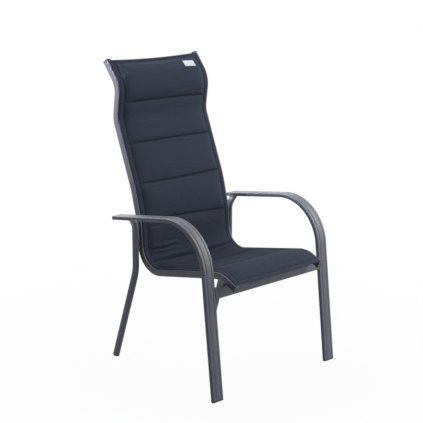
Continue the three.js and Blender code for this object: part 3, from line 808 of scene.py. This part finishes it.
def weld_bead(name, loop, radius):
    """A closed weld bead along a loop of points, with the ripple that welding leaves."""
    loop = resample(loop, bead_pitch)
    tangents = unit(np.roll(loop, -1, axis=0) - np.roll(loop, 1, axis=0))
    rings = []
    for i, (point, tangent) in enumerate(zip(loop, tangents)):
        outward = point - loop.mean(axis=0)
        outward = unit(outward - tangent * (outward @ tangent))
        upward = np.cross(tangent, outward)
        size = radius * (1 + sum(share * math.sin(i * step) for share, step in bead_ripples))
        rings.append([point + outward * x + upward * y
                      for x, y in arc(0, 0, size, 0, full_turn, bead_sides)[:-1]])
    faces = ring_faces(len(rings) + 1, bead_sides, closed_ends=False)
    count = len(rings) * bead_sides
    faces = [tuple(i % count for i in face) for face in faces]
    return add_piece(name, make_mesh(name, np.concatenate(rings), faces), looks["frame"])


def make_crossbar_welds():
    low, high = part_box("front_crossbar")
    centre = np.array((low + high) / 2)
    down = heading(front_leg_lean)
    behind = behind_of(down)
    outline = rounded_outline(crossbar_thickness, crossbar_height, crossbar_edge_radius)
    for side, x in (("left", high.x), ("right", low.x)):
        loop = [(x, *(centre + behind * back - down * up)[1:]) for back, up in outline]
        settle(weld_bead(f"crossbar_weld_{side}", loop, bar_bead_radius))


# Rails and spreader bars
def rail_outline():
    """Rail section on the sitter's left, with its slot and round channel; its outer side is at -x."""
    half = rail_width / 2
    mouth = math.asin(slot_width / 2 / channel_radius)
    rear = rail_depth - rail_rear_radius
    inner, outer = rail_inner_lip_radius, rail_outer_lip_radius
    channel = arc(-slot_offset, channel_depth, channel_radius, mouth - quarter,
                  full_turn - 2 * mouth, 20)
    return [
        (slot_width / 2 - slot_offset, 0.0),
        *arc(half - inner, inner, inner, -quarter, quarter, 6),
        *arc(half - rail_rear_radius, rear, rail_rear_radius, 0, quarter, 7),
        *arc(rail_rear_radius - half, rear, rail_rear_radius, quarter, quarter, 7),
        *arc(outer - half, outer, outer, 2 * quarter, quarter, 5),
        (-slot_width / 2 - slot_offset, 0.0),
        *channel[::-1],
    ]


def make_rails():
    path = BentPath(rail_corners(rail_centre), rail_radii)
    rail = sweep("sling_rail_section_left", rail_outline(), path, rail_steps)
    settle_pair(rail, "sling_rail_left", "sling_rail_right")


def make_spreader(name, run, corner, along):
    """A bowed tube between the rails, behind a run of theirs, with a weld at each end."""
    end = rail_place(run, corner, along, spreader_behind)
    bowed = rail_place(run, corner, along, spreader_behind + spreader_bow)
    reach = rail_outer - rail_width
    shoulder = reach - spreader_straight
    bow_end = shoulder - spreader_bow_run
    spots = [(reach, end), (shoulder, end), (bow_end, bowed), (-bow_end, bowed), (-shoulder, end),
             (-reach, end)]
    path = BentPath([np.array([x, *place[1:]]) for x, place in spots], [spreader_bend_radius] * 4)
    upright = behind_of(heading(run[1]))

    def behind_at(tangent):
        return np.cross(tangent, unit(np.cross(tangent, upright)))

    stem = name.replace("_bar", "_tube")
    outline = arc(0, 0, spreader_radius, 0, full_turn, spreader_sides)[:-1]
    tube = sweep(stem, outline, path, spreader_steps, behind_at=behind_at)
    settle(tube, name)
    points = [np.array(vertex.co) for vertex in tube.data.vertices]
    for side, ring in (("left", points[:spreader_sides]), ("right", points[-spreader_sides:])):
        settle(weld_bead(f"{stem}_weld_{side}", ring, bar_bead_radius))


# Shape of the padded sling
def seam_rows():
    """Rows of the pad's field: distances down the sling, and where its hems and seams fall."""
    hems = [sling_top_inset + hem_width, *seam_distances, sling_front - hem_width]
    rows, marks = [hems[0]], [0]
    for here, there in zip(hems, hems[1:]):
        steps = round((there - here) / row_pitch)
        rows += [here + (there - here) * i / steps for i in range(1, steps + 1)]
        marks.append(len(rows) - 1)
    return np.array(rows), marks


def seam_shift(x, row_distance):
    """How far down the sling a row runs off straight at x, from the tilt and bow of its seams."""
    hems = [sling_top_inset, *seam_distances, sling_front]
    tilt = np.interp(row_distance, hems, [0, *seam_tilts, 0])
    bow = np.interp(row_distance, hems, [-hem_sag, *seam_bows, -hem_sag / 2])
    share = x / pad_half_width
    return tilt * share / 2 - bow * (1 - share ** 2)


def puffed(share):
    """How full a sewn channel is: steep at its seams, gently crowned between them."""
    out = np.abs(2 * share - 1)
    return sum(part * (1 - out ** power) for part, power in channel_puffs)


def inside_edge(wide):
    """1 over the pad, falling to 0 at its side seams."""
    return 1 - wide ** side_power


def sagging_level(wide):
    """Height of the cloth's face over the rails before it is padded out."""
    return sling_lift + sling_margin - pad_sag * (1 - wide ** 2)


def back_level(wide, share):
    """Height of the pad's back face, at a share of its half width and of a channel."""
    full = 1 - np.abs(2 * share - 1) ** back_power
    return sling_lift - pad_sag * (1 - wide ** 2) - inside_edge(wide) * pad_back_crown * full


def channel_share(rows, marks):
    """For each row, its place within its sewn channel from 0 to 1."""
    share = np.zeros(len(rows))
    for here, there in zip(marks, marks[1:]):
        share[here:there + 1] = np.linspace(0, 1, there - here + 1)
    return share


def surface_points(x, distance, height):
    """Points at x across, a distance down the rails and a height in front of their faces."""
    shape = np.broadcast(x, distance, height).shape
    x, distance, height = (np.broadcast_to(v, shape).ravel() for v in (x, distance, height))
    points, tangents = (np.array(part) for part in zip(*(rail_path.at(d) for d in distance)))
    points = points - behind_of(tangents) * height[:, None]
    points[:, 0] = x
    return points.reshape(*shape, 3)


def front_at(distance):
    """The direction in front of the rails at a distance down them."""
    return -behind_of(rail_path.at(distance)[1])


def inflate(points, front, marks, cap):
    """Blows the pad's face up between its seams as cloth, and returns its points."""
    rows, columns, _ = points.shape
    mesh = plain_mesh("pad_face", points.reshape(-1, 3), grid_faces(rows, columns))
    if np.array(mesh.polygons[0].normal) @ front < 0:
        mesh.flip_normals()
    face = place_in_scene("pad_face", mesh)
    index = np.arange(rows * columns).reshape(rows, columns)
    pinned = np.union1d(index[:, [0, -1]], index[marks]).tolist()
    face.vertex_groups.new(name="pins").add(pinned, 1.0, "REPLACE")
    cloth = face.modifiers.new("cloth", "CLOTH")
    cloth.point_cache.frame_start, cloth.point_cache.frame_end = 1, cloth_frames
    for key, value in cloth_settings.items():
        setattr(cloth.settings, key, value)
    cloth.settings.effector_weights.gravity = 0
    cloth.collision_settings.use_collision = False
    scene = bpy.context.scene
    for step in range(1, cloth_frames + 1):
        scene.frame_set(step)
    evaluated = face.evaluated_get(bpy.context.evaluated_depsgraph_get())
    result = np.zeros(rows * columns * 3, np.float32)
    evaluated.data.vertices.foreach_get("co", result)
    scene.frame_set(1)
    bpy.data.objects.remove(face)
    moved = eased(result.reshape(rows, columns, 3).astype(float) - points)
    size = np.linalg.norm(moved, axis=2, keepdims=True)
    return points + moved * np.minimum(1, cap[:, None, None] / np.maximum(size, 1e-9))


def eased(moved):
    """The cloth's displacement with most of its small ripples across the chair taken out."""
    padded = np.concatenate([moved[:, :1]] * ripple_reach + [moved] + [moved[:, -1:]] * ripple_reach,
                            axis=1)
    count = moved.shape[1]
    window = 2 * ripple_reach + 1
    smooth = sum(padded[:, k:k + count] for k in range(window)) / window
    from_side = np.minimum(np.arange(count), np.arange(count)[::-1])
    keep = np.where(from_side < ripple_reach, 1.0, kept_ripple_share)[None, :, None]
    return smooth + (moved - smooth) * keep


def through(grid, places):
    """Points of a grid on smooth curves along its first axis, at places counted in rows."""
    index = np.clip(np.asarray(places).astype(int), 0, len(grid) - 2)
    t = (places - index)[:, None, None]
    padded = np.concatenate([2 * grid[:1] - grid[1:2], grid, 2 * grid[-1:] - grid[-2:-1]])
    a, b, c, d = (padded[index + k] for k in range(4))
    return 0.5 * (2 * b + (c - a) * t + (2 * a - 5 * b + 4 * c - d) * t ** 2
                  + (3 * b - a - 3 * c + d) * t ** 3)


def fine_places(length):
    """Distances across a channel: close together at its two seams, even between them."""
    edge = [0.0, *seam_steps]
    middle = length - 2 * edge[-1]
    steps = max(1, round(middle / fine_pitch))
    between = [edge[-1] + middle * i / steps for i in range(1, steps)]
    return np.array(edge + between + [length - e for e in edge[::-1]])


def fold_height(x, distance):
    """Rolls and grooves along the folds, fading out at their ends."""
    height = np.zeros_like(x)
    for fold in folds:
        x0, d0, x1, d1, rise, half = (size * mm for size in fold)
        length = math.hypot(x1 - x0, d1 - d0)
        aside, down = (x1 - x0) / length, (d1 - d0) / length
        u = (x - x0) * aside + (distance - d0) * down
        wander = fold_wander * np.sin(u * fold_wander_turn + x0 * fold_wander_start)
        v = (distance - d0) * aside - (x - x0) * down + wander
        fade = np.sin(math.pi * np.clip(u / length, 0, 1)) ** fold_fade_power
        roll = np.exp(-(v / half) ** 2)
        trough = np.exp(-(v / (fold_trough_width * half)) ** 2)
        height += rise * fade * (u > 0) * (u < length) * (roll - fold_trough_share * trough)
    return height


def pucker_height(x, from_seam, phase):
    """Short ripples that run away from each line of stitches."""
    waves = sum(share * np.sin(x * full_turn / length + factor * phase)
                for length, share, factor in pucker_waves)
    fade = np.exp(-from_seam / pucker_reach) * np.minimum(1, from_seam / pucker_start)
    return pucker_size * waves * fade


class Sling:
    """The pad's face as a fine grid, kept so that stitches and the tab can lie on it."""

    def __init__(self):
        rows, marks = seam_rows()
        x = np.linspace(-pad_half_width, pad_half_width, field_columns + 1)
        coarse = self.blown(x, rows, marks)
        parts, self.rows, self.marks = [], [], [0]
        for here, there in zip(marks, marks[1:]):
            far = fine_places(rows[there] - rows[here])
            first = 0 if here == 0 else 1
            places = far / far[-1] * (there - here)
            parts.append(through(coarse[here:there + 1], places)[first:])
            self.rows += list(rows[here] + far[first:])
            self.marks.append(len(self.rows) - 1)
        self.rows = np.array(self.rows)
        columns = np.linspace(0, field_columns, field_columns * column_refine + 1)
        self.x = np.interp(columns, np.arange(field_columns + 1), x)
        grid = np.moveaxis(np.concatenate(parts), 1, 0)
        self.front = self.detailed(np.moveaxis(through(grid, columns), 0, 1))

    def blown(self, x, rows, marks):
        """The pad's face on a coarse grid, swollen between its seams."""
        grid_x, grid_s = np.meshgrid(x, rows)
        distance = grid_s + seam_shift(grid_x, grid_s)
        channel = np.clip(np.searchsorted(marks, np.arange(len(rows)), side="right") - 1,
                          0, len(channel_crowns) - 1)
        fullest = channel_crowns[channel]
        crown = (fullest * puffed(channel_share(rows, marks)))[:, None]
        wide = np.abs(grid_x / pad_half_width)
        edge = inside_edge(wide)
        level = sagging_level(wide)
        dip = pad_seam_dip * (1 - crown / max(channel_crowns))
        plain = surface_points(grid_x, distance, level + edge * (crown - dip))
        slack = surface_points(grid_x, distance, level + edge * (slack_share * crown - dip))
        blown = inflate(slack, front_at(rows[0]), marks, fullest * swell_shares[channel])
        return plain + (blown - plain) * kept_shares[channel][:, None, None]

    def detailed(self, points):
        """Narrow sewn grooves, puckers and folds on the fine grid."""
        grid_x, grid_s = np.meshgrid(self.x, self.rows)
        normal = unit(np.cross(np.gradient(points, axis=0), np.gradient(points, axis=1)))
        front = np.array([front_at(distance) for distance in self.rows])[:, None]
        normal = np.where((normal * front).sum(axis=2, keepdims=True) < 0, -normal, normal)
        height = fold_height(grid_x, grid_s)
        from_side = pad_half_width - np.abs(grid_x)
        for i, mark in enumerate(self.marks):
            from_seam = np.abs(grid_s - self.rows[mark])
            groove = hem_groove if mark in (self.marks[0], self.marks[-1]) else seam_groove
            height -= groove * np.exp(-(from_seam / groove_spread) ** 2)
            height += pucker_height(grid_x, from_seam, pucker_first_phase + pucker_phase_step * i)
        height += side_pucker_share * pucker_height(grid_s, from_side, side_pucker_phase)
        height *= np.minimum(1, from_side / side_fade)
        share = channel_share(self.rows, self.marks)[:, None]
        wide = np.abs(grid_x / pad_half_width)
        back = surface_points(grid_x, grid_s + seam_shift(grid_x, grid_s), back_level(wide, share))
        room = ((points - back) * front).sum(axis=2)
        return points + normal * np.maximum(height, thinnest - room)[..., None]

    def spot(self, x, distance):
        """A point on the face, its normal and its two directions there."""
        column = np.interp(x, self.x, np.arange(len(self.x)))
        row = np.interp(distance, self.rows, np.arange(len(self.rows)))
        c = min(int(column), len(self.x) - 2)
        r = min(int(row), len(self.rows) - 2)
        p, q = column - c, row - r
        corner = self.front[r, c]
        aside = self.front[r, c + 1] - corner
        down = self.front[r + 1, c] - corner
        twist = self.front[r + 1, c + 1] - corner - aside - down
        normal = unit(np.cross(aside, down))
        if normal @ front_at(self.rows[r]) < 0:
            normal = -normal
        return corner + aside * p + down * q + twist * p * q, normal, unit(aside), unit(down)


# The sling as one closed skin
def side_profiles():
    """Past the pad's edge, x and height of the cloth: its face out into the slot, then its back."""
    level = sling_lift + sling_margin
    outside = slot_centre + tail_thickness / 2
    inside = outside - tail_thickness
    margin = [(pad_half_width + out, level - down) for out, down in margin_steps]
    rear = [(inside, -tail_depth), (inside, sling_lift - tail_corner), (inside - tail_shoulder, sling_lift)]
    rear += [(pad_half_width + out, sling_lift) for out in rear_steps]
    return margin + [(outside, -tail_depth)], rear


def hem_fullness(depth):
    """How far apart the sling's two faces stand at a depth inside a hem's rolled edge."""
    share = min(1.0, depth / hem_roundness)
    return max(hem_thinnest_share, math.sqrt(1 - (1 - share) ** 2))


def make_sling(sling):
    """The padded sling: face, side margins, tails in the slots, and back."""
    x = sling.x
    rows, columns = len(sling.rows), len(x)
    share = channel_share(sling.rows, sling.marks)
    margin, rear = side_profiles()
    side_x, side_height = np.array(margin + rear).T
    on_rear = np.arange(len(side_x)) >= len(margin)
    wide = np.abs(x / pad_half_width)
    plan = [(sling_top_inset + step, None, 0.0, hem_fullness(step)) for step in hem_steps]
    plan += [(sling.rows[r], sling.front[r], share[r], 1.0) for r in range(rows)]
    plan += [(sling_front - step, None, 0.0, hem_fullness(step)) for step in hem_steps[::-1]]
    across_flat = np.concatenate([x, side_x + flat_rear * on_rear, x[::-1] + flat_back,
                                  (flat_left_rear * on_rear - side_x)[::-1]])
    rings, flat = [], []
    for distance, face, part, fullness in plan:
        down = distance + seam_shift(x, distance)
        back = surface_points(x, down, back_level(wide, part))
        if face is None:
            face = surface_points(x, down, sagging_level(wide) + inside_edge(wide) * hem_roll)
        middle = (face + back) / 2
        right = surface_points(side_x, distance, side_height)
        left = surface_points(-side_x, distance, side_height)
        rings.append(np.concatenate([middle + (face - middle) * fullness, right,
                                     (middle + (back - middle) * fullness)[::-1], left[::-1]]))
        flat.append(np.stack([across_flat, np.full(len(across_flat), distance)], axis=1))
    count = len(across_flat)
    faces = ring_faces(len(rings), count, closed_ends=False)
    for base in (0, (len(rings) - 1) * count):
        ahead = [base + i for i in range(columns)]
        behind = [base + 2 * columns + len(side_x) - 1 - i for i in range(columns)]
        faces += [(ahead[i], ahead[i + 1], behind[i + 1], behind[i]) for i in range(columns - 1)]
        faces.append(tuple(range(ahead[-1], behind[-1] + 1)))
        faces.append((*range(behind[0], base + count), base))
    mesh = make_mesh("padded_sling_cloth", np.concatenate(rings), faces, np.concatenate(flat))
    piece = add_piece("padded_sling_cloth", mesh, looks["sling_fabric"])
    settle(piece, "padded_sling")


# Stitches
def add_stitch(points, faces, spot, normal, along):
    """One stitch: a short thread whose ends dive into the cloth."""
    aside = np.cross(normal, along)
    base = len(points)
    for reach, lift in stitch_shape:
        middle = spot + along * stitch_length * reach + normal * stitch_radius * lift
        points += [middle + aside * x + normal * y
                   for x, y in arc(0, 0, stitch_radius, 0, full_turn, stitch_sides)[:-1]]
    faces += [tuple(base + i for i in face) for face in ring_faces(len(stitch_shape), stitch_sides)]


def make_stitches(sling):
    """Stitches along each seam and hem, and down both side margins."""
    points, faces = [], []
    reach = pad_half_width - stitch_inset
    for mark in sling.marks:
        for x in np.arange(-reach, reach, stitch_pitch):
            spot, normal, aside, _ = sling.spot(x, sling.rows[mark])
            add_stitch(points, faces, spot, normal, aside)
    level = sling_lift + sling_margin - stitch_sunk
    for x in (-margin_seam, margin_seam):
        for distance in np.arange(sling_top_inset + stitch_inset, sling_front - stitch_inset, stitch_pitch):
            point, tangent = rail_path.at(distance)
            front = -behind_of(tangent)
            add_stitch(points, faces, point + front * level + np.array([x, 0, 0]), front, tangent)
    mesh = make_mesh("sling_stitching", points, faces)
    settle(add_piece("sling_stitching", mesh, looks["thread"]))


# Tab
def make_tab(sling):
    """A blank woven tab laid on the headrest, its edges sewn down and a little wavy."""
    front, back, flat = [], [], []
    for down in np.linspace(-1, 1, tab_rows + 1):
        for aside in np.linspace(-1, 1, tab_columns + 1):
            x = tab_offset + aside * tab_width / 2
            distance = tab_from_top + (down + 1) * tab_height / 2 + aside * tab_skew
            spot, normal, _, _ = sling.spot(x, distance)
            inside = (1 - aside ** tab_edge_power) * (1 - down ** tab_edge_power)
            wave = math.sin(aside * tab_wave_turns[0] + down * tab_wave_turns[1])
            lift = tab_lift + (tab_billow + tab_wave * wave) * inside
            front.append(spot + normal * (lift + tab_thickness))
            back.append(spot + normal * lift)
            flat.append((x, distance))
    index = np.arange(len(front)).reshape(tab_rows + 1, tab_columns + 1)
    rim = np.concatenate([index[0], index[1:, -1], index[-1, -2::-1], index[-2:0:-1, 0]]).tolist()
    count = len(front)
    faces = grid_faces(tab_rows + 1, tab_columns + 1)
    faces += [tuple(count + i for i in face)[::-1] for face in faces]
    faces += [(b, a, count + a, count + b) for a, b in zip(rim, rim[1:] + rim[:1])]
    mesh = make_mesh("blank_tab", front + back, faces, flat + flat)
    settle(add_piece("blank_tab", mesh, looks["tab_fabric"], tab_sharp_edge), "care_tab")


# Camera, at the photograph's fitted viewpoint
image_size = 423
focal_pixels = 1157.2
sensor = 36
camera_yaw = 44.269 * degrees
camera_pitch = 13.012 * degrees
camera_place = (-2.8832, -2.9417 + frame_shift, 1.5166)


def make_camera():
    data = bpy.data.cameras.new("camera")
    data.sensor_width = sensor
    data.lens = focal_pixels / image_size * sensor
    camera = place_in_scene("camera", data)
    camera.location = camera_place
    camera.rotation_euler = (quarter - camera_pitch, 0, -camera_yaw)
    bpy.context.scene.camera = camera


# Floor, background and light
floor_half = 9.0
floor_below = 0.2 * mm
floor_tone = 0.4
shadow_near, shadow_far = 0.5, 1.6
white_near, white_far = 0.96, 1.0
sky = (0.95, 0.97, 1.0, 1)
sky_strength = 0.03
chair_middle = (0, 0, 0.6)
lamps = [
    {"name": "overhead", "place": (0.1, -0.5, 2.6), "size": 1.0, "power": 6},
    {"name": "rear_top", "place": (0.1, 1.6, 2.4), "size": 1.1, "power": 76, "aim": (0, -0.2, 0.5)},
    {"name": "right_front", "place": (2.1, -1.8, 1.6), "size": 2.6, "power": 47},
    {"name": "right_middle", "place": (1.9, -1.3, 2.2), "size": 2.2, "power": 27},
    {"name": "right_high", "place": (2.0, -0.6, 2.0), "size": 1.8, "power": 10},
    {"name": "left_rear", "place": (-2.2, 0.8, 1.7), "size": 0.3, "power": 1.6,
     "aim": (-0.22, 0.25, 1.05), "spread": 24 * degrees},
]


def white_to_the_eye(nodes, shader, share):
    """Mixes plain white over a shader for what the camera and reflections see."""
    paths = nodes.node("LightPath").outputs
    seen = nodes.maths("MAXIMUM", paths["Is Camera Ray"], paths["Is Glossy Ray"])
    seen = nodes.maths("MAXIMUM", seen, paths["Is Transmission Ray"])
    kind = "Background" if shader.bl_idname == "ShaderNodeBackground" else "Emission"
    white = nodes.node(kind, {"Color": (1, 1, 1, 1)})
    part = nodes.maths("MULTIPLY", seen, share)
    mixed = nodes.node("MixShader", {0: part, 1: shader.outputs[0], 2: white.outputs[0]})
    return mixed.outputs[0]


def make_floor():
    """Pale ground that the eye sees as white, but for a trace of shadow close to the chair."""
    material = bpy.data.materials.new("floor")
    material.use_nodes = True
    nodes = Nodes(material.node_tree)
    nodes.tree.nodes.clear()
    matte = nodes.node("BsdfDiffuse", {"Color": grey(floor_tone)})
    reach = nodes.node("VectorMath", {0: nodes.place()}, operation="LENGTH").outputs["Value"]
    share = nodes.ranged(reach, white_near, white_far, shadow_near, shadow_far)
    nodes.node("OutputMaterial", {"Surface": white_to_the_eye(nodes, matte, share)})
    corners = [(x * floor_half, y * floor_half, -floor_below)
               for x, y in ((-1, -1), (1, -1), (1, 1), (-1, 1))]
    mesh = plain_mesh("floor", corners, [(0, 1, 2, 3)])
    mesh.materials.append(material)
    place_in_scene("floor", mesh)


def make_world():
    world = bpy.data.worlds.new("studio")
    world.use_nodes = True
    bpy.context.scene.world = world
    nodes = Nodes(world.node_tree)
    nodes.tree.nodes.clear()
    soft = nodes.node("Background", {"Color": sky, "Strength": sky_strength})
    nodes.node("OutputWorld", {"Surface": white_to_the_eye(nodes, soft, 1.0)})


def make_lamp(name, place, size, power, aim=chair_middle, spread=math.pi):
    data = bpy.data.lights.new(name, "AREA")
    data.size = size
    data.energy = power
    data.spread = spread
    lamp = place_in_scene(name, data)
    lamp.location = place
    lamp.rotation_euler = (Vector(aim) - Vector(place)).to_track_quat("-Z", "Y").to_euler()
    lamp.visible_camera = False


bpy.context.scene.view_settings.view_transform = "Standard"
make_camera()
dress_nodes()
make_arms()
make_rear_legs()
make_rails()
make_spreader("headrest_spreader_bar", upper_back_run, shoulder_corner, headrest_spreader_below_shoulder)
make_spreader("lumbar_spreader_bar", lower_back_run, seat_corner, -lumbar_spreader_above_seat)
make_spreader("seat_spreader_bar", seat_run, seat_corner, seat_spreader_ahead)
make_crossbar_welds()
sling_shape = Sling()
make_sling(sling_shape)
make_stitches(sling_shape)
make_tab(sling_shape)
make_floor()
make_world()
for lamp in lamps:
    make_lamp(**lamp)
